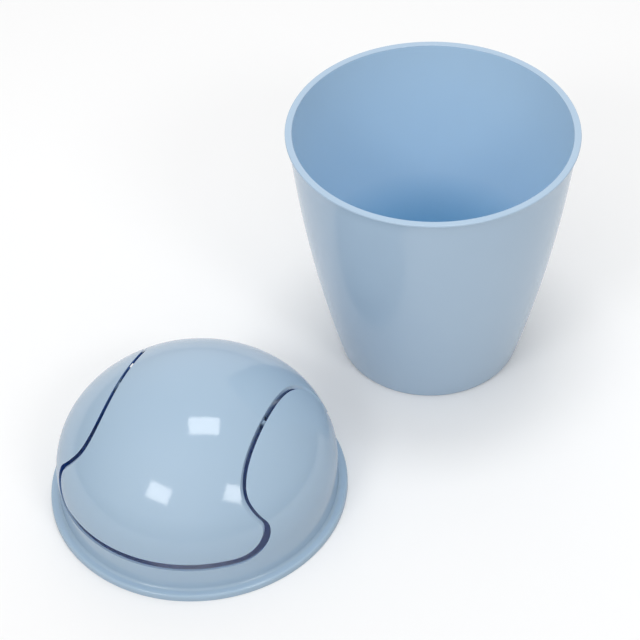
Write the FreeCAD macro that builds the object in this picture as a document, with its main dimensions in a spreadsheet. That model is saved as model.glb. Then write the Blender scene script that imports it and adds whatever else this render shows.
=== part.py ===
import FreeCAD, Part

import math
import os
from collections import namedtuple
from types import SimpleNamespace

import Sketcher

# A swing-lid trash can in moulded plastic: a tapered bucket, and its domed lid standing beside it.
# The lid is a frame with an ear on each side, and a saddle-shaped flap that swings between the ears.
# Millimetres, +Z up, origin at the centre of the bucket's base, hinge axis of the flap along X.

LENGTHS = {
    # Bucket: the wall leans and bows outwards from the base, and a flat lip overhangs its top
    "bucket_height": 134.8,
    "base_radius": 45.3,
    "wall_top_radius": 68.5,
    "wall_bow": 2.95,
    "bucket_wall": 2.0,
    "bucket_floor": 2.0,
    "base_round": 2.0,
    "floor_round": 4.0,
    "lip_overhang": 1.5,
    "lip_thickness": 1.3,
    "lip_round": 0.45,
    # Lid shell: a skirt that drops over the bucket's lip, a flange, a low ring and a dome of two arcs
    "lid_wall": 1.2,
    "skirt_clearance": 0.2,
    "flange_height": 3.2,
    "flange_round": 1.2,
    "flange_fillet": 1.5,
    "ring_inset": 3.0,
    "spring_height": 17.6,
    "shoulder_radius": 36.9,
    "dome_rise": 50.5,
    # Window in the dome, seen from the front: how far its waist and its low corners lie inside the ring
    "waist_inset": 29.5,
    "corner_inset": 13.6,
    "window_sill": 16.3,
    "window_corner": 11.0,
    "waist_curve": 26.5,
    # Hinge: stub pins on lugs under the ears, and bored lugs on the flap's rims
    "pin_radius": 1.5,
    "pin_depth": 2.9,
    "pin_end": 1.2,
    "bore_clearance": 0.05,
    "lug_radius": 3.6,
    "lug_wall": 2.0,
    # Flap: the gaps that let it swing in the window, and the rims that stiffen its sides
    "waist_gap": 2.0,
    "corner_gap": 2.6,
    "sill_gap": 4.2,
    "flap_corner": 8.4,
    "rim_wall": 1.6,
    "rim_depth": 4.5,
    "rim_reach": 33.0,
    # Clear space between the bucket's lip and the lid's flange, seen from above
    "stand_gap": 11.6,
}
ANGLES = {
    # Lean of the window's slanted sides from the vertical
    "side_lean_angle": 40.5,
    # Turn of the lid's place from the bucket's front towards -X
    "stand_turn_angle": 27.5,
}
FULL_TURN = 360
RIGHT_ANGLE = 90
SAME_PLACE_SHARE = 1e-5

X_AXIS = FreeCAD.Vector(1, 0, 0)
Y_AXIS = FreeCAD.Vector(0, 1, 0)
Z_AXIS = FreeCAD.Vector(0, 0, 1)

doc = FreeCAD.newDocument("trash_can")
sheet = doc.addObject("Spreadsheet::Sheet", "Sizes")


class Size:
    """A size of the object: its value, and the sheet formula that gives it."""

    def __init__(self, value, formula):
        self.value = value
        self.formula = formula

    def __add__(self, other):
        other = as_size(other)
        return Size(self.value + other.value, f"({self.formula} + {other.formula})")

    def __sub__(self, other):
        other = as_size(other)
        return Size(self.value - other.value, f"({self.formula} - {other.formula})")

    def __mul__(self, other):
        other = as_size(other)
        return Size(self.value * other.value, f"({self.formula} * {other.formula})")

    def __truediv__(self, other):
        other = as_size(other)
        return Size(self.value / other.value, f"({self.formula} / {other.formula})")

    def __neg__(self):
        return Size(-self.value, f"(-1 * {self.formula})")


def as_size(number):
    return number if isinstance(number, Size) else Size(number, repr(number))


def root(size):
    return Size(math.sqrt(size.value), f"sqrt({size.formula})")


def sine(angle):
    return Size(math.sin(math.radians(angle.value)), f"sin({angle.formula})")


def cosine(angle):
    return Size(math.cos(math.radians(angle.value)), f"cos({angle.formula})")


def length_of(across, up):
    return root(across * across + up * up)


named = {}
for row, (name, number) in enumerate({**LENGTHS, **ANGLES}.items(), start=1):
    sheet.set(f"A{row}", name)
    sheet.set(f"B{row}", str(number))
    sheet.setAlias(f"B{row}", name)
    named[name] = Size(number, f"Sizes.{name}")
size = SimpleNamespace(**named)
doc.recompute()

# Outlines: a run goes from the last point to its end, straight or as an arc about a centre

Run = namedtuple("Run", "end centre radius", defaults=(None, None))


def vector(point):
    return FreeCAD.Vector(as_size(point[0]).value, as_size(point[1]).value, 0)


def run_curve(start, run):
    """The run's curve, and which of its two tips it starts and ends with."""
    first = vector(start)
    last = vector(run.end)
    if run.radius is None:
        return Part.LineSegment(first, last), (1, 2)
    centre = vector(run.centre)
    circle = Part.Circle(centre, Z_AXIS, run.radius.value)
    from_angle = math.atan2(first.y - centre.y, first.x - centre.x)
    to_angle = math.atan2(last.y - centre.y, last.x - centre.x)
    if (first - centre).cross(last - centre).z > 0:
        return Part.ArcOfCircle(circle, from_angle, to_angle), (1, 2)
    return Part.ArcOfCircle(circle, to_angle, from_angle), (2, 1)


def fix_point(sketch, curve, tip, point):
    """Binds one tip of a curve to its two coordinates."""
    for kind, zero_axis, coordinate in (("DistanceX", -2, point[0]), ("DistanceY", -1, point[1])):
        place = as_size(coordinate)
        if place.value == 0:
            sketch.addConstraint(Sketcher.Constraint("PointOnObject", curve, tip, zero_axis))
            continue
        ends = (-1, 1, curve, tip)
        if place.value < 0:
            place = -place
            ends = (curve, tip, -1, 1)
        index = sketch.addConstraint(Sketcher.Constraint(kind, *ends, place.value))
        sketch.setExpression(f"Constraints[{index}]", place.formula)


def draw_outline(sketch, runs):
    """Draws a closed outline, which starts where its last run ends."""
    starts = [runs[-1].end] + [run.end for run in runs[:-1]]
    tips = []
    for start, run in zip(starts, runs):
        curve, ends = run_curve(start, run)
        sketch.addGeometry(curve, False)
        tips.append(ends)
    for curve, run in enumerate(runs):
        following = (curve + 1) % len(runs)
        joined = (curve, tips[curve][1], following, tips[following][0])
        sketch.addConstraint(Sketcher.Constraint("Coincident", *joined))
        fix_point(sketch, curve, tips[curve][1], run.end)
        if run.radius is not None:
            index = sketch.addConstraint(Sketcher.Constraint("Radius", curve, run.radius.value))
            sketch.setExpression(f"Constraints[{index}]", run.radius.formula)


def upright_sketch(name, runs):
    """An outline in the XZ plane, for the solids that are turned or pulled from it."""
    sketch = doc.addObject("Sketcher::SketchObject", name)
    sketch.Placement.Rotation = FreeCAD.Rotation(X_AXIS, RIGHT_ANGLE)
    draw_outline(sketch, runs)
    return sketch


def turned(name, runs):
    """A solid of revolution about Z."""
    solid = doc.addObject("Part::Revolution", name)
    solid.Source = upright_sketch(name + "_outline", runs)
    solid.Axis = Z_AXIS
    solid.Angle = FULL_TURN
    solid.Solid = True
    return solid


def pulled(name, runs, depth):
    """A prism along Y, the same depth on both sides of the XZ plane."""
    solid = doc.addObject("Part::Extrusion", name)
    solid.Base = upright_sketch(name + "_outline", runs)
    solid.DirMode = "Normal"
    solid.Symmetric = True
    solid.setExpression("LengthFwd", (depth * 2).formula)
    solid.Solid = True
    return solid


def rod(name, radius, start, end, height):
    """A cylinder along X between two places, at a height above the lid's base."""
    solid = doc.addObject("Part::Cylinder", name)
    solid.setExpression("Radius", as_size(radius).formula)
    solid.setExpression("Height", (end - start).formula)
    solid.Placement.Rotation = FreeCAD.Rotation(Y_AXIS, RIGHT_ANGLE)
    solid.setExpression("Placement.Base.x", start.formula)
    solid.setExpression("Placement.Base.z", height.formula)
    return solid


def joined(name, *pieces):
    solid = doc.addObject("Part::MultiFuse", name)
    solid.Shapes = list(pieces)
    solid.Refine = True
    return solid


def cut(name, base, tool):
    solid = doc.addObject("Part::Cut", name)
    solid.Base = base
    solid.Tool = tool
    return solid


def shared(name, base, tool):
    solid = doc.addObject("Part::Common", name)
    solid.Base = base
    solid.Tool = tool
    return solid


def mirrored(name, source):
    """The same piece on the other side of the YZ plane."""
    solid = doc.addObject("Part::Mirroring", name)
    solid.Source = source
    solid.Normal = X_AXIS
    return solid


# Bucket: one turned moulding. Its inner wall is concentric with the bowed outer wall.

lip_radius = size.wall_top_radius + size.lip_overhang
lip_underside = size.bucket_height - size.lip_thickness
lean_across = size.wall_top_radius - size.base_radius
wall_chord = length_of(lean_across, lip_underside)
wall_curve = wall_chord * wall_chord / (size.wall_bow * 8) + size.wall_bow / 2
centre_reach = (wall_curve - size.wall_bow) / wall_chord
wall_centre = (
    (size.base_radius + size.wall_top_radius) / 2 - centre_reach * lip_underside,
    lip_underside / 2 + centre_reach * lean_across,
)
inner_curve = wall_curve - size.bucket_wall


def inner_wall(height):
    drop = height - wall_centre[1]
    return wall_centre[0] + root(inner_curve * inner_curve - drop * drop)


mouth_radius = inner_wall(size.bucket_height)
floor_radius = inner_wall(size.bucket_floor)
bucket_runs = [
    Run((size.base_radius, 0)),
    Run((size.wall_top_radius, lip_underside), wall_centre, wall_curve),
    Run((lip_radius, lip_underside)),
    Run((lip_radius, size.bucket_height)),
    Run((mouth_radius, size.bucket_height)),
    Run((floor_radius, size.bucket_floor), wall_centre, inner_curve),
    Run((0, size.bucket_floor)),
    Run((0, 0)),
]

bucket = doc.addObject("PartDesign::Body", "bucket")
bucket_outline = bucket.newObject("Sketcher::SketchObject", "bucket_outline")
upright_plane = next(plane for plane in bucket.Origin.OriginFeatures if plane.Role == "XZ_Plane")
bucket_outline.AttachmentSupport = [(upright_plane, "")]
bucket_outline.MapMode = "FlatFace"
draw_outline(bucket_outline, bucket_runs)
bucket_wall = bucket.newObject("PartDesign::Revolution", "bucket_wall")
bucket_wall.Profile = bucket_outline
bucket_wall.ReferenceAxis = (bucket_outline, ["V_Axis"])
bucket_wall.Angle = FULL_TURN
doc.recompute()


def ring_edges(shape, *places):
    """Names of the shape's round edges that have the given radius and height."""
    near = shape.BoundBox.DiagonalLength * SAME_PLACE_SHARE
    names = []
    for number, edge in enumerate(shape.Edges, start=1):
        if not isinstance(edge.Curve, Part.Circle):
            continue
        for radius, height in places:
            off_radius = abs(edge.Curve.Radius - as_size(radius).value)
            off_height = abs(edge.Curve.Center.z - as_size(height).value)
            if max(off_radius, off_height) < near:
                names.append(f"Edge{number}")
    return names


def rounded(body, name, radius, *places):
    """Rounds the body's ring edges at the given radii and heights."""
    base = body.Tip
    fillet = body.newObject("PartDesign::Fillet", name)
    fillet.Base = (base, ring_edges(base.Shape, *places))
    fillet.setExpression("Radius", radius.formula)
    doc.recompute()


lip_edges = [
    (lip_radius, lip_underside),
    (lip_radius, size.bucket_height),
    (mouth_radius, size.bucket_height),
]
rounded(bucket, "lip_rounds", size.lip_round, *lip_edges)
rounded(bucket, "base_edge", size.base_round, (size.base_radius, 0))
rounded(bucket, "floor_edge", size.floor_round, (floor_radius, size.bucket_floor))

# Lid shell: the dome's shoulder arc springs from the ring and meets the crown arc with one tangent

ring_radius = lip_radius - size.ring_inset
skirt_inside = lip_radius + size.skirt_clearance
skirt_radius = skirt_inside + size.lid_wall
flange_underside = size.flange_height - size.lid_wall
dome_top = size.spring_height + size.dome_rise
shoulder_across = ring_radius - size.shoulder_radius
crown_radius = (
    shoulder_across * shoulder_across
    + size.dome_rise * size.dome_rise
    - size.shoulder_radius * size.shoulder_radius
) / ((size.dome_rise - size.shoulder_radius) * 2)
shoulder_centre = (shoulder_across, size.spring_height)
crown_centre = (0, dome_top - crown_radius)
centre_gap = crown_radius - size.shoulder_radius
tangent_across_share = shoulder_across / centre_gap
tangent_up_share = (crown_radius - size.dome_rise) / centre_gap


def dome_tangent(depth):
    """Where the two arcs meet, at a depth below the dome's outside."""
    reach = crown_radius - depth
    return (reach * tangent_across_share, crown_centre[1] + reach * tangent_up_share)


def dome_up(depth):
    """Runs from the ring up to the dome's top, at a depth below its outside."""
    return [
        Run(dome_tangent(depth), shoulder_centre, size.shoulder_radius - depth),
        Run((0, dome_top - depth), crown_centre, crown_radius - depth),
    ]


def dome_down(depth):
    """The same runs from the dome's top down to the ring."""
    return [
        Run(dome_tangent(depth), crown_centre, crown_radius - depth),
        Run((ring_radius - depth, size.spring_height), shoulder_centre, size.shoulder_radius - depth),
    ]


flange_round_in = skirt_radius - size.flange_round
flange_round_down = size.flange_height - size.flange_round
flange_fillet_out = ring_radius + size.flange_fillet
flange_fillet_up = size.flange_height + size.flange_fillet
lid_shell = turned(
    "lid_shell",
    [
        Run((skirt_radius, 0)),
        Run((skirt_radius, flange_round_down)),
        Run((flange_round_in, size.flange_height), (flange_round_in, flange_round_down), size.flange_round),
        Run((flange_fillet_out, size.flange_height)),
        Run((ring_radius, flange_fillet_up), (flange_fillet_out, flange_fillet_up), size.flange_fillet),
        Run((ring_radius, size.spring_height)),
        *dome_up(as_size(0)),
        Run((0, dome_top - size.lid_wall)),
        *dome_down(size.lid_wall),
        Run((ring_radius - size.lid_wall, flange_underside)),
        Run((skirt_inside, flange_underside)),
        Run((skirt_inside, 0)),
    ],
)
wall_middle = size.lid_wall / 2
dome_core = turned(
    "dome_core",
    [
        Run((ring_radius - wall_middle, size.spring_height)),
        *dome_up(wall_middle),
        Run((0, size.spring_height)),
    ],
)
rim_layer = turned(
    "rim_layer",
    [
        Run((ring_radius - wall_middle, size.spring_height)),
        *dome_up(wall_middle),
        Run((0, dome_top - size.rim_depth)),
        *dome_down(size.rim_depth),
    ],
)


def bell_runs(waist, curve, spread, sill, corner):
    """Front view of the window or the flap: a sill, round corners, slanted sides and a narrow waist."""
    lean_out = cosine(size.side_lean_angle)
    lean_up = sine(size.side_lean_angle)
    curve_across = waist + curve
    corner_across = spread - corner
    corner_up = sill + corner
    slant = (corner_across - curve_across + (curve + corner) * lean_out) / lean_up
    slant_top = (curve_across - curve * lean_out, corner_up + corner * lean_up + slant * lean_out)
    slant_foot = (corner_across + corner * lean_out, corner_up + corner * lean_up)
    waist_up = slant_top[1] + curve * lean_up
    head = waist_up + dome_top
    right_side = [
        Run((corner_across, sill)),
        Run(slant_foot, (corner_across, corner_up), corner),
        Run(slant_top),
        Run((waist, waist_up), (curve_across, waist_up), curve),
        Run((waist, head)),
    ]
    left_side = [
        Run((-waist, head)),
        Run((-waist, waist_up)),
        Run((-slant_top[0], slant_top[1]), (-curve_across, waist_up), curve),
        Run((-slant_foot[0], slant_foot[1])),
        Run((-corner_across, sill), (-corner_across, corner_up), corner),
    ]
    return right_side + left_side


window_waist = ring_radius - size.waist_inset
window_spread = ring_radius - size.corner_inset
window = pulled(
    "window",
    bell_runs(window_waist, size.waist_curve, window_spread, size.window_sill, size.window_corner),
    skirt_radius,
)

# Lid frame: the shell with its window, and a lug with a stub pin under the edge of each ear

waist_drop = root(crown_radius * crown_radius - window_waist * window_waist)
pin_height = crown_centre[1] + waist_drop - size.pin_depth
flap_waist = window_waist - size.waist_gap
rim_inside = flap_waist - size.rim_wall
ear_lug_end = window_waist + size.lug_wall

ear_lug = shared(
    "ear_lug",
    rod("ear_lug_rod", size.lug_radius, window_waist, ear_lug_end, pin_height),
    dome_core,
)
stub_pin = rod("stub_pin", size.pin_radius, rim_inside - size.pin_end, ear_lug_end, pin_height)
ear_hinge = joined("ear_hinge", ear_lug, stub_pin)
lid_frame = joined(
    "lid_frame",
    cut("open_shell", lid_shell, window),
    ear_hinge,
    mirrored("ear_hinge_left", ear_hinge),
)

# Swing flap: what the window leaves of the same dome, with a rim and a bored lug along each waist

flap_outline = pulled(
    "flap_outline_prism",
    bell_runs(
        flap_waist,
        size.waist_curve + size.waist_gap,
        window_spread - size.corner_gap,
        size.window_sill + size.sill_gap,
        size.flap_corner,
    ),
    skirt_radius,
)
rim_slab = doc.addObject("Part::Box", "rim_slab")
rim_slab.setExpression("Length", size.rim_wall.formula)
rim_slab.setExpression("Width", (size.rim_reach * 2).formula)
rim_slab.setExpression("Height", size.dome_rise.formula)
rim_slab.setExpression("Placement.Base.x", rim_inside.formula)
rim_slab.setExpression("Placement.Base.y", (-size.rim_reach).formula)
rim_slab.setExpression("Placement.Base.z", size.spring_height.formula)
flap_lug = shared(
    "flap_lug",
    rod("flap_lug_rod", size.lug_radius, rim_inside, flap_waist, pin_height),
    dome_core,
)
flap_rim = joined("flap_rim", shared("flap_rim_wall", rim_layer, rim_slab), flap_lug)
flap_body = joined(
    "flap_body",
    shared("flap_shell", lid_shell, flap_outline),
    flap_rim,
    mirrored("flap_rim_left", flap_rim),
)
bore = rod("pin_bore", size.pin_radius + size.bore_clearance, -flap_waist, flap_waist, pin_height)
swing_flap = cut("swing_flap", flap_body, bore)

# The lid and its flap stand beside the bucket, on the same surface

stand_reach = lip_radius + skirt_radius + size.stand_gap
for lid_piece in (lid_frame, swing_flap):
    lid_piece.setExpression("Placement.Base.x", (-stand_reach * sine(size.stand_turn_angle)).formula)
    lid_piece.setExpression("Placement.Base.y", (-stand_reach * cosine(size.stand_turn_angle)).formula)

PIECES = {"bucket": bucket, "lid_frame": lid_frame, "swing_flap": swing_flap}
for name, piece in PIECES.items():
    piece.Label = name
doc.recompute()

for item in doc.Objects:
    if "Invalid" in item.State or "Error" in item.State:
        raise RuntimeError(f"{item.Label} did not build: {item.State}")
for name, piece in PIECES.items():
    if piece.Shape.isNull() or not piece.Shape.isValid() or len(piece.Shape.Solids) != 1:
        raise RuntimeError(f"{name} is not one sound solid")

os.makedirs("parts", exist_ok=True)
for name, piece in PIECES.items():
    piece.Shape.exportStep(f"parts/{name}.step")
    middle = piece.Shape.Solids[0].CenterOfMass
    print(f"{name}: {piece.Shape.Volume:.1f} mm3, mass centre {middle.x:.2f} {middle.y:.2f} {middle.z:.2f}")
print(f"hinge axis at height {pin_height.value:.3f}, lid top at {dome_top.value:.3f}")
print(f"lid stands at {lid_frame.Placement.Base.x:.3f} {lid_frame.Placement.Base.y:.3f}")
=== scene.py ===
import math
from collections import namedtuple

import bmesh
import bpy
from mathutils import Matrix, Vector


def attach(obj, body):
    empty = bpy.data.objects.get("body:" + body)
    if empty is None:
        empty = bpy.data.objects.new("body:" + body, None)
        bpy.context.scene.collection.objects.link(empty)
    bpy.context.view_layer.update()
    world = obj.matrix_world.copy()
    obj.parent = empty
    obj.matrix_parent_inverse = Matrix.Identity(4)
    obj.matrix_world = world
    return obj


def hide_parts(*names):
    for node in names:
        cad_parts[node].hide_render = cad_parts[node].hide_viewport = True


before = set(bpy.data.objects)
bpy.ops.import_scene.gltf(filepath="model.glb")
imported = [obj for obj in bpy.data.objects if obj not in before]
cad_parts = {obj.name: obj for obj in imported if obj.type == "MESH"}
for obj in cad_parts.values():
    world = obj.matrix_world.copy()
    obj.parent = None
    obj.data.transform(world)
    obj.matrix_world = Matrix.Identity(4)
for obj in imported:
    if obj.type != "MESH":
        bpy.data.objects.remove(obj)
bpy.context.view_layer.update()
scene = bpy.context.scene
scene.view_settings.view_transform = "Standard"

# Bucket: a tapered tub whose wall bows outwards a little and ends in a flat lip that overhangs it.
# Light blue polypropylene, injection-moulded in one shot: the mould is polished outside and satin inside.
# It stands on its flat base and nothing is fixed to it.

MM = 0.001
FULL_TURN = 2 * math.pi
QUARTER_TURN = math.pi / 2
BUCKET_HEIGHT = 134.8 * MM
BASE_RADIUS = 45.3 * MM
WALL_TOP_RADIUS = 68.5 * MM
WALL_BOW = 2.95 * MM
BUCKET_WALL = 2.0 * MM
BUCKET_FLOOR = 2.0 * MM
LIP_OVERHANG = 1.5 * MM
LIP_THICKNESS = 1.3 * MM
LIP_ROUND, LIP_ROUND_STEPS = 0.45 * MM, 4
BASE_ROUND, BASE_ROUND_STEPS = 1.55 * MM, 5
FLOOR_ROUND, FLOOR_ROUND_STEPS = 3.1 * MM, 6
WALL_STEPS = 20
ROUND_STEPS = 192
SAME_RING = 0.01 * MM
BUCKET_WELD = 0.001 * MM
FLOOR_UPWARDS_SHARE = 0.5


def draw_line(bm, tip, radius, height):
    """Draws a straight stretch of a section and gives its new tip."""
    tip = bmesh.ops.extrude_vert_indiv(bm, verts=[tip])["verts"][0]
    tip.co = (radius, 0, height)
    return tip


def draw_arc(bm, tip, centre, turn, steps):
    """Draws a round stretch of a section about a centre, and gives its new tip."""
    middle = (centre[0], 0, centre[1])
    bent = bmesh.ops.spin(bm, geom=[tip], cent=middle, axis=(0, -1, 0), angle=turn, steps=steps)
    return next(item for item in bent["geom_last"] if isinstance(item, bmesh.types.BMVert))


def ring_edges(bm, radius, height):
    """The edges of the ring that has this radius and height."""
    on_ring = {
        vert
        for vert in bm.verts
        if abs(vert.co.xy.length - radius) < SAME_RING and abs(vert.co.z - height) < SAME_RING
    }
    return [edge for edge in bm.edges if on_ring.issuperset(edge.verts)]


def round_edges(bm, edges, offset, segments):
    bmesh.ops.bevel(
        bm,
        geom=edges,
        offset=offset,
        affect="EDGES",
        segments=segments,
        profile=0.5,
        material=-1,
        clamp_overlap=True,
    )


def moulding(name, bm, body, node, slot, *finishes):
    """Makes a moulded piece from its mesh, for a body and in place of a node."""
    for face in bm.faces:
        face.smooth = True
    mesh = bpy.data.meshes.new(name)
    bm.to_mesh(mesh)
    bm.free()
    for finish in finishes:
        mesh.materials.append(finish)
    piece = bpy.data.objects.new(name, mesh)
    scene.collection.objects.link(piece)
    even_shine = piece.modifiers.new("even_shine", "WEIGHTED_NORMAL")
    even_shine.keep_sharp = True
    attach(piece, body)
    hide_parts(node)


# The wall's section is an arc through its foot and its top, and its inside is an arc about the same centre
lip_radius = WALL_TOP_RADIUS + LIP_OVERHANG
lip_underside = BUCKET_HEIGHT - LIP_THICKNESS
lean_across = WALL_TOP_RADIUS - BASE_RADIUS
wall_chord = math.hypot(lean_across, lip_underside)
wall_curve = wall_chord**2 / (8 * WALL_BOW) + WALL_BOW / 2
centre_reach = (wall_curve - WALL_BOW) / wall_chord
wall_centre = (
    (BASE_RADIUS + WALL_TOP_RADIUS) / 2 - centre_reach * lip_underside,
    lip_underside / 2 + centre_reach * lean_across,
)
inner_curve = wall_curve - BUCKET_WALL


def wall_angle(curve, height):
    """Angle at the wall's centre of curvature to the point of the wall at a height."""
    return math.asin((height - wall_centre[1]) / curve)


outer_turn = wall_angle(wall_curve, lip_underside) - wall_angle(wall_curve, 0)
inner_turn = wall_angle(inner_curve, BUCKET_HEIGHT) - wall_angle(inner_curve, BUCKET_FLOOR)
mouth_radius = wall_centre[0] + inner_curve * math.cos(wall_angle(inner_curve, BUCKET_HEIGHT))
floor_radius = wall_centre[0] + inner_curve * math.cos(wall_angle(inner_curve, BUCKET_FLOOR))

bucket_mesh = bmesh.new()
tip = bucket_mesh.verts.new((0, 0, 0))
tip = draw_line(bucket_mesh, tip, BASE_RADIUS / 2, 0)
tip = draw_line(bucket_mesh, tip, BASE_RADIUS, 0)
tip = draw_arc(bucket_mesh, tip, wall_centre, outer_turn, WALL_STEPS)
tip = draw_line(bucket_mesh, tip, lip_radius, lip_underside)
tip = draw_line(bucket_mesh, tip, lip_radius, BUCKET_HEIGHT)
tip = draw_line(bucket_mesh, tip, mouth_radius, BUCKET_HEIGHT)
tip = draw_arc(bucket_mesh, tip, wall_centre, -inner_turn, WALL_STEPS)
tip = draw_line(bucket_mesh, tip, floor_radius / 2, BUCKET_FLOOR)
tip = draw_line(bucket_mesh, tip, 0, BUCKET_FLOOR)
bmesh.ops.spin(
    bucket_mesh,
    geom=bucket_mesh.verts[:] + bucket_mesh.edges[:],
    cent=(0, 0, 0),
    axis=(0, 0, 1),
    angle=FULL_TURN,
    steps=ROUND_STEPS,
    use_merge=True,
)
bmesh.ops.remove_doubles(bucket_mesh, verts=bucket_mesh.verts[:], dist=BUCKET_WELD)
bmesh.ops.recalc_face_normals(bucket_mesh, faces=bucket_mesh.faces[:])
lip_rings = (
    ring_edges(bucket_mesh, lip_radius, lip_underside)
    + ring_edges(bucket_mesh, lip_radius, BUCKET_HEIGHT)
    + ring_edges(bucket_mesh, mouth_radius, BUCKET_HEIGHT)
)
round_edges(bucket_mesh, lip_rings, LIP_ROUND, LIP_ROUND_STEPS)
round_edges(bucket_mesh, ring_edges(bucket_mesh, BASE_RADIUS, 0), BASE_ROUND, BASE_ROUND_STEPS)
floor_ring = ring_edges(bucket_mesh, floor_radius, BUCKET_FLOOR)
round_edges(bucket_mesh, floor_ring, FLOOR_ROUND, FLOOR_ROUND_STEPS)

POLISHED_SIDE, SATIN_SIDE = 0, 1
for face in bucket_mesh.faces:
    middle = face.calc_center_median()
    faces_in = face.normal.xy.dot(middle.xy) < 0 and middle.z < BUCKET_HEIGHT - LIP_ROUND
    is_floor = face.normal.z > FLOOR_UPWARDS_SHARE and middle.z < BUCKET_HEIGHT / 2
    face.material_index = SATIN_SIDE if faces_in or is_floor else POLISHED_SIDE

MIX_SHARE, MIX_FIRST, MIX_SECOND, MIX_RESULT = 0, 6, 7, 2


class Wire:
    """A wire in a finish's node tree. Sums and products of wires add Math nodes."""

    def __init__(self, tree, socket=None):
        self.tree = tree
        self.socket = socket

    def node(self, kind, settings=None, inputs=None, output=0):
        """Adds a node, sets it, feeds its inputs, and gives the wire from one of its outputs."""
        node = self.tree.nodes.new(kind)
        for name, setting in (settings or {}).items():
            setattr(node, name, setting)
        for place, feed in (inputs or {}).items():
            if isinstance(feed, Wire):
                self.tree.links.new(feed.socket, node.inputs[place])
            else:
                node.inputs[place].default_value = feed
        return Wire(self.tree, node.outputs[output] if len(node.outputs) else None)

    def math(self, operation, *values):
        return self.node("ShaderNodeMath", {"operation": operation}, dict(enumerate(values)))

    def __add__(self, other):
        return self.math("ADD", self, other)

    def __mul__(self, other):
        return self.math("MULTIPLY", self, other)

    def __radd__(self, other):
        return self.math("ADD", other, self)

    def __rmul__(self, other):
        return self.math("MULTIPLY", other, self)

    def spread(self, low, high, to_low, to_high, easing="LINEAR"):
        """Maps the range from low to high onto another one, without going past its ends."""
        settings = {"data_type": "FLOAT", "clamp": True, "interpolation_type": easing}
        inputs = dict(enumerate((self, low, high, to_low, to_high)))
        return self.node("ShaderNodeMapRange", settings, inputs)

    def blend(self, colour, other):
        """Mixes two colours: all of the first where this wire is 0, all of the other where it is 1."""
        inputs = {MIX_SHARE: self, MIX_FIRST: colour, MIX_SECOND: other}
        return self.node("ShaderNodeMix", {"data_type": "RGBA"}, inputs, MIX_RESULT)


PLASTIC_IOR = 1.5
SWIRL_DETAIL, SWIRL_BREAKUP = 3, 0.55
SWIRL_RANGE = (0.3, 0.7)
# Heights over which the painted shade low down fades out
PAINTED_SHADE_START, PAINTED_SHADE_END = 30 * MM, 62 * MM
DUST_COLOUR = (0.78, 0.8, 0.8, 1)
DUST_CELL = 9 * MM
DUST_COVER, DUST_ROUGHNESS, DUST_HEIGHT = 0.55, 0.3, 0.03 * MM
SPECK_REACH_SHARES = (0.018, 0.03)
SPECK_LOT_SHARES = (0.78, 0.8)
SMUDGE_SIZE, SMUDGE_DETAIL, SMUDGE_BREAKUP = 24 * MM, 4, 0.6
SMUDGE_RANGE = (0.35, 0.75)
SMUDGE_ROUGHNESS = 0.05
SINK_SIZE, SINK_DETAIL, SINK_BREAKUP = 38 * MM, 1, 0.4
SINK_DEPTH = 0.06 * MM
GRAIN_SIZE, GRAIN_DETAIL, GRAIN_BREAKUP = 0.7 * MM, 2, 0.5
GRAIN_DEPTH = 0.0012 * MM


def moulded_plastic(name, colour, deep_colour, smooth_roughness, swirl_size, painted_shade_colour=None):
    """A moulded plastic: cloudy pigment, fine dust, uneven polish, a skin that is not quite flat, and
    painted shade low down when a colour for it is given.
    """
    finish = bpy.data.materials.new(name)
    finish.use_nodes = True
    tree = finish.node_tree
    shader = tree.nodes["Principled BSDF"]
    start = Wire(tree)
    place = start.node("ShaderNodeTexCoord", output="Object")

    def noise(size, detail, breakup):
        inputs = {"Vector": place, "Scale": 1 / size, "Detail": detail, "Roughness": breakup}
        return start.node("ShaderNodeTexNoise", None, inputs)

    # Pigment that the melt has carried along in faint clouds
    clouds = noise(swirl_size, SWIRL_DETAIL, SWIRL_BREAKUP).spread(*SWIRL_RANGE, 0, 1)
    pigment = clouds.blend(colour, deep_colour)

    # Fuller colour low down, where little light has bleached the wall
    # Painted shade: a darker, deeper colour low down, fading out higher up
    if painted_shade_colour:
        height_up = start.node("ShaderNodeSeparateXYZ", None, {"Vector": place}, "Z")
        pigment = height_up.spread(PAINTED_SHADE_START, PAINTED_SHADE_END, 1, 0).blend(pigment, painted_shade_colour)

    # Dust: a pale speck in a few cells of a loose grid
    cells = {"Vector": place, "Scale": 1 / DUST_CELL, "Randomness": 1.0}
    speck_distance = start.node("ShaderNodeTexVoronoi", None, cells, "Distance")
    cell_colour = start.node("ShaderNodeTexVoronoi", None, cells, "Color")
    lot = start.node("ShaderNodeSeparateColor", None, {"Color": cell_colour}, "Red")
    speck = speck_distance.spread(*SPECK_REACH_SHARES, 1, 0) * lot.spread(*SPECK_LOT_SHARES, 0, 1)
    dusty = (speck * DUST_COVER).blend(pigment, DUST_COLOUR)

    # Polish that handling has dulled here and there
    smudges = noise(SMUDGE_SIZE, SMUDGE_DETAIL, SMUDGE_BREAKUP).spread(*SMUDGE_RANGE, 0, 1)
    roughness = smudges * SMUDGE_ROUGHNESS + speck * DUST_ROUGHNESS + smooth_roughness

    # Skin: slow sink marks under a fine grain, in metres of height
    sink = noise(SINK_SIZE, SINK_DETAIL, SINK_BREAKUP) * SINK_DEPTH
    grain = noise(GRAIN_SIZE, GRAIN_DETAIL, GRAIN_BREAKUP) * GRAIN_DEPTH
    height = sink + grain + speck * DUST_HEIGHT
    normal = start.node("ShaderNodeBump", None, {"Strength": 1.0, "Distance": 1.0, "Height": height})

    shader.inputs["IOR"].default_value = PLASTIC_IOR
    tree.links.new(dusty.socket, shader.inputs["Base Color"])
    tree.links.new(roughness.socket, shader.inputs["Roughness"])
    tree.links.new(normal.socket, shader.inputs["Normal"])
    return finish


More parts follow.
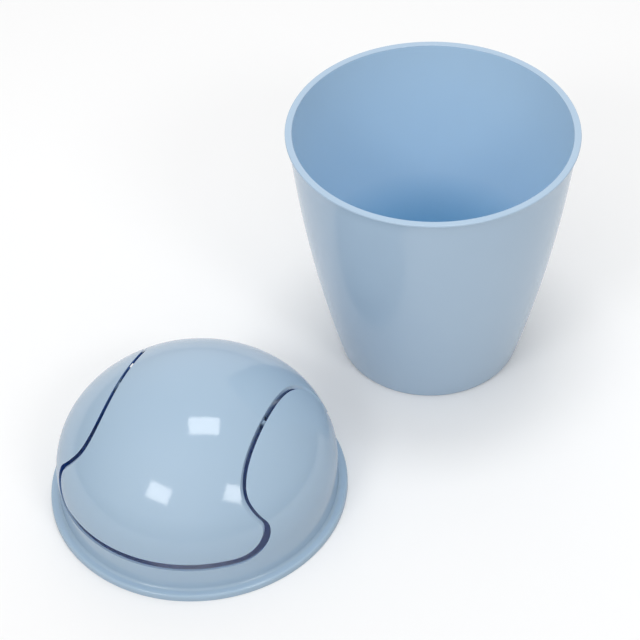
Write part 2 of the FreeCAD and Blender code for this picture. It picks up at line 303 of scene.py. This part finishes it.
SKY_BLUE = (0.434, 0.574, 0.72, 1)
DEEP_BLUE = (0.42, 0.558, 0.71, 1)
# Inside the bucket: painted light, a lighter copy of the same plastic than outside, and painted shade, a
# darker colour low down
PAINTED_LIGHT_INSIDE_BLUE = (0.51, 0.69, 0.85, 1)
DEEP_PAINTED_LIGHT_INSIDE_BLUE = (0.495, 0.675, 0.842, 1)
PAINTED_SHADE_INSIDE_BLUE = (0.29, 0.55, 0.765, 1)
POLISHED_ROUGHNESS, SATIN_ROUGHNESS = 0.14, 0.34
BUCKET_SWIRL = 70 * MM
bucket_polished = moulded_plastic(
    "bucket_polished", SKY_BLUE, DEEP_BLUE, POLISHED_ROUGHNESS, BUCKET_SWIRL
)
bucket_satin_painted_light_and_shade = moulded_plastic(
    "bucket_satin_painted_light_and_shade", PAINTED_LIGHT_INSIDE_BLUE, DEEP_PAINTED_LIGHT_INSIDE_BLUE, SATIN_ROUGHNESS, BUCKET_SWIRL, PAINTED_SHADE_INSIDE_BLUE
)
moulding("bucket_tub", bucket_mesh, "bucket", "bucket", "bucket_plastic", bucket_polished, bucket_satin_painted_light_and_shade)

# Lid frame: a skirt and flange that seat on the bucket's lip, a low ring, and the dome's two side ears.
# The same polypropylene, 1.2 mm thick, from a mould that is mirror-polished outside and satin inside.
# A lug under the edge of each ear carries a stub pin that is moulded with it.

LID_WALL = 1.2 * MM
SKIRT_CLEARANCE = 0.2 * MM
FLANGE_HEIGHT = 3.2 * MM
FLANGE_ROUND = 1.2 * MM
FLANGE_FILLET = 1.5 * MM
FLANGE_STEPS = 6
RING_INSET = 3.0 * MM
RING_ROWS = 4
SPRING_HEIGHT = 17.6 * MM
SHOULDER_RADIUS = 36.9 * MM
DOME_RISE = 50.5 * MM
WAIST_INSET, CORNER_INSET = 29.5 * MM, 13.6 * MM
WAIST_CURVE, WINDOW_CORNER = 26.5 * MM, 11.0 * MM
WINDOW_SILL = 16.3 * MM
SIDE_LEAN = math.radians(40.5)
CORNER_STEPS, SLANT_STEPS, WAIST_STEPS = 14, 12, 34
EAR_COLUMNS = 40
SILL_STEPS = 64
EDGE_ROUND, EDGE_ROUND_STEPS = 0.3 * MM, 3
SHELL_EDGE_ANGLE = math.radians(35)
LID_WELD = 0.002 * MM
INWARDS_SHARE = -0.5
HALVINGS = 44
STAND_GAP = 11.6 * MM
STAND_TURN = math.radians(27.5)

skirt_radius = lip_radius + SKIRT_CLEARANCE + LID_WALL
ring_radius = lip_radius - RING_INSET
stand_distance = lip_radius + STAND_GAP + skirt_radius
lid_place = Vector((-math.sin(STAND_TURN), -math.cos(STAND_TURN), 0)) * stand_distance

# The window's outline, seen from the front: half its width at the waist and at the corners, its sill's
# height, and the radii of the curves at its waist and its corners
Bell = namedtuple("Bell", "waist curve spread sill corner")
WINDOW = Bell(ring_radius - WAIST_INSET, WAIST_CURVE, ring_radius - CORNER_INSET, WINDOW_SILL, WINDOW_CORNER)

# The dome's section is a shoulder arc that springs from the ring, and a crown arc that runs on from it
shoulder_across = ring_radius - SHOULDER_RADIUS
crown_radius = (
    (shoulder_across**2 + DOME_RISE**2 - SHOULDER_RADIUS**2) / 2 / (DOME_RISE - SHOULDER_RADIUS)
)
crown_height = SPRING_HEIGHT + DOME_RISE - crown_radius
meeting_across_share = shoulder_across / (crown_radius - SHOULDER_RADIUS)
meeting_up_share = (crown_radius - DOME_RISE) / (crown_radius - SHOULDER_RADIUS)


def dome_radius(height, depth):
    """Radius of the dome at a height, on the surface that lies a depth below its outside."""
    if height <= SPRING_HEIGHT:
        return ring_radius - depth
    if height <= crown_height + (crown_radius - depth) * meeting_up_share:
        return shoulder_across + math.sqrt((SHOULDER_RADIUS - depth) ** 2 - (height - SPRING_HEIGHT) ** 2)
    return math.sqrt(max(0, (crown_radius - depth) ** 2 - (height - crown_height) ** 2))


def dome_height(radius, depth):
    """Height of the dome at a radius, on the surface that lies a depth below its outside."""
    if radius <= (crown_radius - depth) * meeting_across_share:
        return crown_height + math.sqrt((crown_radius - depth) ** 2 - radius**2)
    return SPRING_HEIGHT + math.sqrt((SHOULDER_RADIUS - depth) ** 2 - (radius - shoulder_across) ** 2)


def halved(low, high, is_past):
    """The place between low and high where is_past turns true."""
    for _ in range(HALVINGS):
        middle = (low + high) / 2
        if is_past(middle):
            high = middle
        else:
            low = middle
    return (low + high) / 2


def on_dome(across, tilt, foot, depth):
    """The dome's point at X = across in a plane that is tilted about the line Y = 0, Z = foot."""

    def is_outside(reach):
        radius = dome_radius(foot + reach * math.sin(tilt), depth)
        return math.hypot(across, reach * math.cos(tilt)) >= radius

    reach = halved(0, 2 * ring_radius, is_outside)
    return Vector((across, -reach * math.cos(tilt), foot + reach * math.sin(tilt)))


def bell_edge(bell, depth):
    """Half widths and tilts of a bell outline on the dome, from its sill over the top to its other sill."""
    lean_out, lean_up = math.cos(SIDE_LEAN), math.sin(SIDE_LEAN)
    corner_across, corner_up = bell.spread - bell.corner, bell.sill + bell.corner
    curve_across = bell.waist + bell.curve
    slant = (corner_across - curve_across + (bell.curve + bell.corner) * lean_out) / lean_up
    slant_foot = corner_up + bell.corner * lean_up
    slant_head = slant_foot + slant * lean_out
    curve_up = slant_head + bell.curve * lean_up

    def waist_across(height):
        return curve_across - math.sqrt(bell.curve**2 - (curve_up - height) ** 2)

    top = halved(slant_head, curve_up, lambda height: dome_radius(height, depth) < waist_across(height))
    places = []
    for step in range(CORNER_STEPS):
        turn = (QUARTER_TURN + SIDE_LEAN) * step / CORNER_STEPS
        across = corner_across + bell.corner * math.sin(turn)
        places.append((across, corner_up - bell.corner * math.cos(turn)))
    for step in range(SLANT_STEPS):
        run = slant * step / SLANT_STEPS
        across = corner_across + bell.corner * lean_out - run * lean_up
        places.append((across, slant_foot + run * lean_out))
    for step in range(WAIST_STEPS + 1):
        height = top - (top - slant_head) * (1 - step / WAIST_STEPS) ** 2
        places.append((waist_across(height), height))
    front = []
    for across, height in places:
        out = math.sqrt(max(0, dome_radius(height, depth) ** 2 - across**2))
        front.append((across, math.atan2(height - bell.sill, out)))
    front[-1] = (front[-1][0], QUARTER_TURN)
    back = [(across, math.pi - tilt) for across, tilt in reversed(front[:-1])]
    return front + back


def unit_grid(bm, columns, rows):
    """A flat grid of faces that runs from 0 to 1 both ways."""
    verts = bmesh.ops.create_grid(bm, x_segments=columns, y_segments=rows, size=0.5)["verts"]
    bmesh.ops.translate(bm, verts=verts, vec=(0.5, 0.5, 0))
    return verts


def dome_patch(bm, edge, columns, foot, depth, across_at):
    """A grid of faces on the dome, with a row for each place on an outline's edge."""
    rows = len(edge) - 1
    patch = unit_grid(bm, columns, rows)
    for vert in patch:
        edge_across, tilt = edge[round(vert.co.y * rows)]
        vert.co = on_dome(across_at(edge_across, vert.co.x), tilt, foot, depth)
    return patch


def take_in(bm, other):
    """Adds another mesh to this one."""
    carrier = bpy.data.meshes.new("carrier")
    other.to_mesh(carrier)
    other.free()
    bm.from_mesh(carrier)
    bpy.data.meshes.remove(carrier)


def close_rims(bm):
    """Welds what meets, and joins the outer and inner edges with a wall."""
    bmesh.ops.remove_doubles(bm, verts=bm.verts[:], dist=LID_WELD)
    bmesh.ops.bridge_loops(bm, edges=[edge for edge in bm.edges if edge.is_boundary])
    bmesh.ops.recalc_face_normals(bm, faces=bm.faces[:])


def sharp_edges(bm, angle):
    return [edge for edge in bm.edges if edge.is_manifold and edge.calc_face_angle() > angle]


def edges_at(verts):
    return list(dict.fromkeys(edge for vert in verts for edge in vert.link_edges))


def faces_at(verts):
    return list(dict.fromkeys(face for vert in verts for face in vert.link_faces))


def stand_lid(bm):
    """Parts the satin inside of the dome from its polished outside, and sets the lid in its place."""
    for face in bm.faces:
        outwards = (face.calc_center_median() - Vector((0, 0, WINDOW.sill))).normalized()
        is_inside = face.normal.dot(outwards) < INWARDS_SHARE
        face.material_index = SATIN_SIDE if is_inside else POLISHED_SIDE
    bmesh.ops.translate(bm, verts=bm.verts[:], vec=lid_place)


ear_half_turn = math.acos((WINDOW.spread - WINDOW.corner) / dome_radius(WINDOW.sill, 0))


def draw_ears(bm, depth):
    """Both ears of the dome, on the surface that lies a depth below its outside."""
    pole = dome_radius(WINDOW.sill, depth)
    corner_start = pole * math.cos(ear_half_turn)
    edge = bell_edge(WINDOW, depth)
    edge[0] = (corner_start, 0)
    edge[-1] = (corner_start, math.pi)

    def towards_foot(edge_across, share):
        return pole * math.cos(math.acos(edge_across / pole) * (1 - share))

    for side in (-1, 1):
        ear = dome_patch(bm, edge, EAR_COLUMNS, WINDOW.sill, depth, towards_foot)
        bmesh.ops.scale(bm, verts=ear, vec=(side, 1, 1))


frame_mesh = bmesh.new()
for depth in (0, LID_WALL):
    draw_ears(frame_mesh, depth)

ring_mesh = bmesh.new()
ring_inside = ring_radius - LID_WALL
skirt_inside = skirt_radius - LID_WALL
flange_underside = FLANGE_HEIGHT - LID_WALL
fillet_up = FLANGE_HEIGHT + FLANGE_FILLET
round_down = FLANGE_HEIGHT - FLANGE_ROUND
tip = ring_mesh.verts.new((ring_radius, 0, WINDOW.sill))
for row in reversed(range(RING_ROWS)):
    tip = draw_line(ring_mesh, tip, ring_radius, fillet_up + (WINDOW.sill - fillet_up) * row / RING_ROWS)
tip = draw_arc(ring_mesh, tip, (ring_radius + FLANGE_FILLET, fillet_up), QUARTER_TURN, FLANGE_STEPS)
tip = draw_line(ring_mesh, tip, skirt_radius - FLANGE_ROUND, FLANGE_HEIGHT)
tip = draw_arc(ring_mesh, tip, (skirt_radius - FLANGE_ROUND, round_down), -QUARTER_TURN, FLANGE_STEPS)
for radius, height in (
    (skirt_radius, 0),
    (skirt_inside, 0),
    (skirt_inside, flange_underside),
    (ring_inside, flange_underside),
    (ring_inside, WINDOW.sill),
):
    tip = draw_line(ring_mesh, tip, radius, height)
section = ring_mesh.verts[:] + ring_mesh.edges[:]
turn_to_corner = Matrix.Rotation(-ear_half_turn, 3, "Z")
bmesh.ops.rotate(ring_mesh, verts=ring_mesh.verts[:], cent=(0, 0, 0), matrix=turn_to_corner)
ear_sector = (2 * ear_half_turn, 2 * EAR_COLUMNS)
sill_sector = (math.pi - 2 * ear_half_turn, SILL_STEPS)
for angle, steps in (ear_sector, sill_sector, ear_sector, sill_sector):
    swept = bmesh.ops.spin(
        ring_mesh, geom=section, cent=(0, 0, 0), axis=(0, 0, 1), angle=angle, steps=steps
    )
    section = swept["geom_last"]
take_in(frame_mesh, ring_mesh)
close_rims(frame_mesh)
round_edges(frame_mesh, sharp_edges(frame_mesh, SHELL_EDGE_ANGLE), EDGE_ROUND, EDGE_ROUND_STEPS)

# The hinge lies along X, a little below the dome's surface at the window's waist
PIN_RADIUS = 1.5 * MM
PIN_DEPTH = 2.9 * MM
PIN_ROUND, PIN_ROUND_STEPS = 0.6 * MM, 3
PIN_START = 32.7 * MM
LUG_RADIUS = 3.6 * MM
LUG_WALL = 2.0 * MM
LUG_TOP = 57.0 * MM
POST_STEPS = 48
along_x = Matrix.Rotation(QUARTER_TURN, 4, "Y")
pin_height = dome_height(WINDOW.waist, 0) - PIN_DEPTH
lug_end = WINDOW.waist + LUG_WALL


def draw_post(bm, side, radius, start, end):
    """A round post along the hinge's line, on one side of the lid."""
    middle = Matrix.Translation((side * (start + end) / 2, 0, pin_height))
    return bmesh.ops.create_cone(
        bm,
        cap_ends=True,
        segments=POST_STEPS,
        radius1=radius,
        radius2=radius,
        depth=end - start,
        matrix=middle @ along_x,
    )["verts"]


for side in (-1, 1):
    lug = draw_post(frame_mesh, side, LUG_RADIUS, WINDOW.waist, lug_end)
    trimmed = bmesh.ops.bisect_plane(
        frame_mesh,
        geom=lug + edges_at(lug) + faces_at(lug),
        plane_co=(0, 0, LUG_TOP),
        plane_no=(0, 0, 1),
        clear_outer=True,
    )
    cut_edges = [item for item in trimmed["geom_cut"] if isinstance(item, bmesh.types.BMEdge)]
    bmesh.ops.holes_fill(frame_mesh, edges=cut_edges, sides=0)
    pin = draw_post(frame_mesh, side, PIN_RADIUS, PIN_START, lug_end)
    free_end = [edge for edge in edges_at(pin) if all(abs(vert.co.x) < WINDOW.waist for vert in edge.verts)]
    round_edges(frame_mesh, free_end, PIN_ROUND, PIN_ROUND_STEPS)
stand_lid(frame_mesh)

LEAK_BLUE = (0.16, 0.4, 0.85, 1)
THIN_WALL_IOR = 1.57


def thin_wall(finish, leak_share):
    """Lets some light through a thin wall of plastic; it comes out blue."""
    tree = finish.node_tree
    shader = tree.nodes["Principled BSDF"]
    shader.inputs["IOR"].default_value = THIN_WALL_IOR
    skin = Wire(tree, shader.outputs["BSDF"])
    through = skin.node("ShaderNodeBsdfTranslucent", None, {"Color": LEAK_BLUE})
    wall = skin.node("ShaderNodeMixShader", None, dict(enumerate((leak_share, skin, through))))
    tree.links.new(wall.socket, tree.nodes["Material Output"].inputs["Surface"])
    return finish


LID_BLUE = (0.488, 0.651, 0.788, 1)
DEEP_LID_BLUE = (0.472, 0.633, 0.776, 1)
# The lid's inside: painted shade, a darker, deeper copy of the same plastic than outside
PAINTED_SHADE_LID_BLUE = (0.32, 0.49, 0.7, 1)
DEEP_PAINTED_SHADE_LID_BLUE = (0.305, 0.475, 0.69, 1)
MIRROR_ROUGHNESS = 0.07
LID_SWIRL = 60 * MM
OUTSIDE_LEAK_SHARE, INSIDE_LEAK_SHARE = 0.2, 0.3
lid_mirror_polish = moulded_plastic(
    "lid_mirror_polish", LID_BLUE, DEEP_LID_BLUE, MIRROR_ROUGHNESS, LID_SWIRL
)
lid_satin_painted_shade = moulded_plastic(
    "lid_satin_painted_shade", PAINTED_SHADE_LID_BLUE, DEEP_PAINTED_SHADE_LID_BLUE, SATIN_ROUGHNESS, LID_SWIRL
)
lid_finishes = (
    thin_wall(lid_mirror_polish, OUTSIDE_LEAK_SHARE),
    thin_wall(lid_satin_painted_shade, INSIDE_LEAK_SHARE),
)
moulding("lid_frame_shell", frame_mesh, "lid", "lid_frame", "lid_plastic", *lid_finishes)

# Swing flap: the middle of the dome, a saddle that fills the window with a small gap all round.
# The same polypropylene and finishes, with a low rim and a bored lug under each side.
# The frame's stub pins snap into the bores, and the flap hangs on them and swings both ways.

WAIST_GAP, CORNER_GAP, SILL_GAP = 2.0 * MM, 2.6 * MM, 4.2 * MM
FLAP_CORNER = 8.4 * MM
FLAP_COLUMNS = 110
RIM_WALL = 1.6 * MM
RIM_TOP, RIM_DEPTH = 0.5 * MM, 4.5 * MM
RIM_START, RIM_REACH = 2.0 * MM, 33.0 * MM
RIM_COLUMNS, RIM_ROWS = 30, 4
RIM_ROUND, RIM_ROUND_STEPS = 0.15 * MM, 2
RIM_EDGE_ANGLE = math.radians(50)
BORE_CLEARANCE = 0.05 * MM
FLAP = Bell(
    WINDOW.waist - WAIST_GAP,
    WINDOW.curve + WAIST_GAP,
    WINDOW.spread - CORNER_GAP,
    WINDOW.sill + SILL_GAP,
    FLAP_CORNER,
)


def side_to_side(edge_across, share):
    return edge_across * (2 * share - 1)


def thicken(bm, faces, way):
    """Gives flat faces a thickness, by pulling them off along a way."""
    pulled = bmesh.ops.extrude_face_region(bm, geom=faces, use_keep_orig=True)["geom"]
    pulled_verts = [item for item in pulled if isinstance(item, bmesh.types.BMVert)]
    bmesh.ops.translate(bm, verts=pulled_verts, vec=way)


flap_mesh = bmesh.new()
for depth in (0, LID_WALL):
    dome_patch(flap_mesh, bell_edge(FLAP, depth), FLAP_COLUMNS, FLAP.sill, depth, side_to_side)
close_rims(flap_mesh)
round_edges(flap_mesh, sharp_edges(flap_mesh, SHELL_EDGE_ANGLE), EDGE_ROUND, EDGE_ROUND_STEPS)

rim_mesh = bmesh.new()
for side in (-1, 1):
    inwards = (-side * RIM_WALL, 0, 0)
    for end in (-1, 1):
        rim = unit_grid(rim_mesh, RIM_COLUMNS, RIM_ROWS)
        for vert in rim:
            along = end * (RIM_START + (RIM_REACH - RIM_START) * vert.co.x)
            depth = RIM_TOP + (RIM_DEPTH - RIM_TOP) * vert.co.y
            height = dome_height(math.hypot(FLAP.waist, along), depth)
            vert.co = (side * FLAP.waist, along, height)
        thicken(rim_mesh, faces_at(rim), inwards)
    hub = Matrix.Translation((side * FLAP.waist, 0, pin_height)) @ along_x
    hoops = []
    for radius in (LUG_RADIUS, PIN_RADIUS + BORE_CLEARANCE):
        hoop = bmesh.ops.create_circle(rim_mesh, segments=POST_STEPS, radius=radius, matrix=hub)["verts"]
        hoops += edges_at(hoop)
    washer = bmesh.ops.bridge_loops(rim_mesh, edges=hoops)["faces"]
    thicken(rim_mesh, washer, inwards)
bmesh.ops.recalc_face_normals(rim_mesh, faces=rim_mesh.faces[:])
round_edges(rim_mesh, sharp_edges(rim_mesh, RIM_EDGE_ANGLE), RIM_ROUND, RIM_ROUND_STEPS)
take_in(flap_mesh, rim_mesh)
stand_lid(flap_mesh)
moulding("flap_saddle", flap_mesh, "flap", "swing_flap", "lid_plastic", *lid_finishes)

# Studio: a white floor that both pieces stand on, in a dim room with a soft glow from a few sides.
# Three softboxes stand above, in front and to the right; their panels show in the polished dome.
# The camera looks down from the front, a little to the right.

FLOOR_REACH = 3.0
FLOOR_WHITE = (0.9, 0.9, 0.9, 1)
FLOOR_BACK = (0.97, 0.97, 0.97, 1)
BACK_START, BACK_END = -0.3, 0.05
FLOOR_BOUNCE = (0.7, 0.7, 0.7, 1)
FLOOR_FAR = (0.7, 0.7, 0.7, 1)
FADE_START, FADE_END = 0.42, 1.5

floor_mesh = bmesh.new()
bmesh.ops.create_grid(floor_mesh, x_segments=1, y_segments=1, size=FLOOR_REACH)
floor_data = bpy.data.meshes.new("floor")
floor_mesh.to_mesh(floor_data)
floor_mesh.free()
floor = bpy.data.objects.new("floor", floor_data)
scene.collection.objects.link(floor)

# The floor is seen as white, gives back less light than it shows, and turns grey far from the pieces
floor_paint = bpy.data.materials.new("floor_paint")
floor_paint.use_nodes = True
floor_paint.node_tree.nodes.clear()
floor_start = Wire(floor_paint.node_tree)
seen_ways = ("Is Camera Ray", "Is Glossy Ray", "Is Transmission Ray")
seen = sum(floor_start.node("ShaderNodeLightPath", output=way) for way in seen_ways).spread(0, 1, 0, 1)
floor_place = floor_start.node("ShaderNodeTexCoord", output="Object")
floor_y = floor_start.node("ShaderNodeSeparateXYZ", None, {"Vector": floor_place}, "Y")
far_out = floor_start.node("ShaderNodeVectorMath", {"operation": "LENGTH"}, {0: floor_place}, "Value")
seen_colour = floor_y.spread(BACK_START, BACK_END, 0, 1).blend(FLOOR_WHITE, FLOOR_BACK)
near_colour = seen.blend(FLOOR_BOUNCE, seen_colour)
fade = far_out.spread(FADE_START, FADE_END, 0, 1, "SMOOTHSTEP")
floor_colour = fade.blend(near_colour, FLOOR_FAR)
matt = floor_start.node("ShaderNodeBsdfDiffuse", None, {"Color": floor_colour})
floor_start.node("ShaderNodeOutputMaterial", None, {"Surface": matt})
floor_data.materials.append(floor_paint)


def facing(azimuth, elevation):
    """Turn that points Z to an azimuth from the front and an elevation above the floor, in degrees."""
    tip_over = Matrix.Rotation(QUARTER_TURN - math.radians(elevation), 4, "X")
    return Matrix.Rotation(math.radians(azimuth), 4, "Z") @ tip_over


def aimed(azimuth, elevation, distance, target, turn):
    """Stands a lamp or camera off from a target, looking at it."""
    way = facing(azimuth, elevation)
    place = Matrix.Translation(Vector(target) + way @ Vector((0, 0, distance)))
    return place @ way @ Matrix.Rotation(math.radians(turn), 4, "Z")


Glow = namedtuple("Glow", "azimuth elevation strength narrowness")
ROOM_GLOWS = (
    Glow(0, 90, 0.36, 1),
    Glow(16, 45, 0.34, 1),
    Glow(180, 40, 0.22, 1),
    Glow(-20, 55, 0.54, 6),
    Glow(22, 35, 0.13, 6),
    Glow(-12, 3, 0.17, 2),
    Glow(202, 12, 0.85, 4),
)
room = bpy.data.worlds.new("room")
scene.world = room
room.use_nodes = True
room_start = Wire(room.node_tree)
room_way = room_start.node("ShaderNodeTexCoord", output="Generated")
glows = []
for glow in ROOM_GLOWS:
    middle = facing(glow.azimuth, glow.elevation) @ Vector((0, 0, 1))
    ways = {0: room_way, 1: middle}
    towards = room_start.node("ShaderNodeVectorMath", {"operation": "DOT_PRODUCT"}, ways, "Value")
    lit = towards.math("POWER", towards.math("MAXIMUM", towards, 0), glow.narrowness)
    glows.append(lit * glow.strength)
backdrop = room.node_tree.nodes["Background"]
backdrop.inputs["Color"].default_value = (1, 1, 1, 1)
room.node_tree.links.new(sum(glows).socket, backdrop.inputs["Strength"])

Softbox = namedtuple("Softbox", "azimuth elevation turn width depth")
SOFTBOXES = {
    "softbox_above": Softbox(170.4, 79.6, 33.0, 0.45, 0.31),
    "softbox_front": Softbox(-15.4, 43.7, 3.5, 0.38, 0.26),
    "softbox_right": Softbox(60.3, 40.8, -41.0, 0.35, 0.26),
}
SOFTBOX_DISTANCE = 1.3
SOFTBOX_POWER_PER_AREA = 22
SOFTBOX_AIM_HEIGHT = 50 * MM
dome_middle = lid_place + Vector((0, 0, SOFTBOX_AIM_HEIGHT))
for name, panel in SOFTBOXES.items():
    lamp = bpy.data.lights.new(name, "AREA")
    lamp.shape = "RECTANGLE"
    lamp.size = panel.width
    lamp.size_y = panel.depth
    lamp.energy = SOFTBOX_POWER_PER_AREA * panel.width * panel.depth
    softbox = bpy.data.objects.new(name, lamp)
    scene.collection.objects.link(softbox)
    softbox.matrix_world = aimed(panel.azimuth, panel.elevation, SOFTBOX_DISTANCE, dome_middle, panel.turn)
    softbox.visible_camera = False

CAMERA_SENSOR, CAMERA_LENS = 36, 112.94
CAMERA_AZIMUTH, CAMERA_ELEVATION, CAMERA_TURN = 22.22, 43.74, -1.888
CAMERA_DISTANCE = 1.0507
CAMERA_TARGET = (-0.0569, -0.00921, 0)
camera_data = bpy.data.cameras.new("camera")
camera_data.sensor_fit = "HORIZONTAL"
camera_data.sensor_width = CAMERA_SENSOR
camera_data.lens = CAMERA_LENS
camera = bpy.data.objects.new("camera", camera_data)
scene.collection.objects.link(camera)
camera.matrix_world = aimed(CAMERA_AZIMUTH, CAMERA_ELEVATION, CAMERA_DISTANCE, CAMERA_TARGET, CAMERA_TURN)
scene.camera = camera
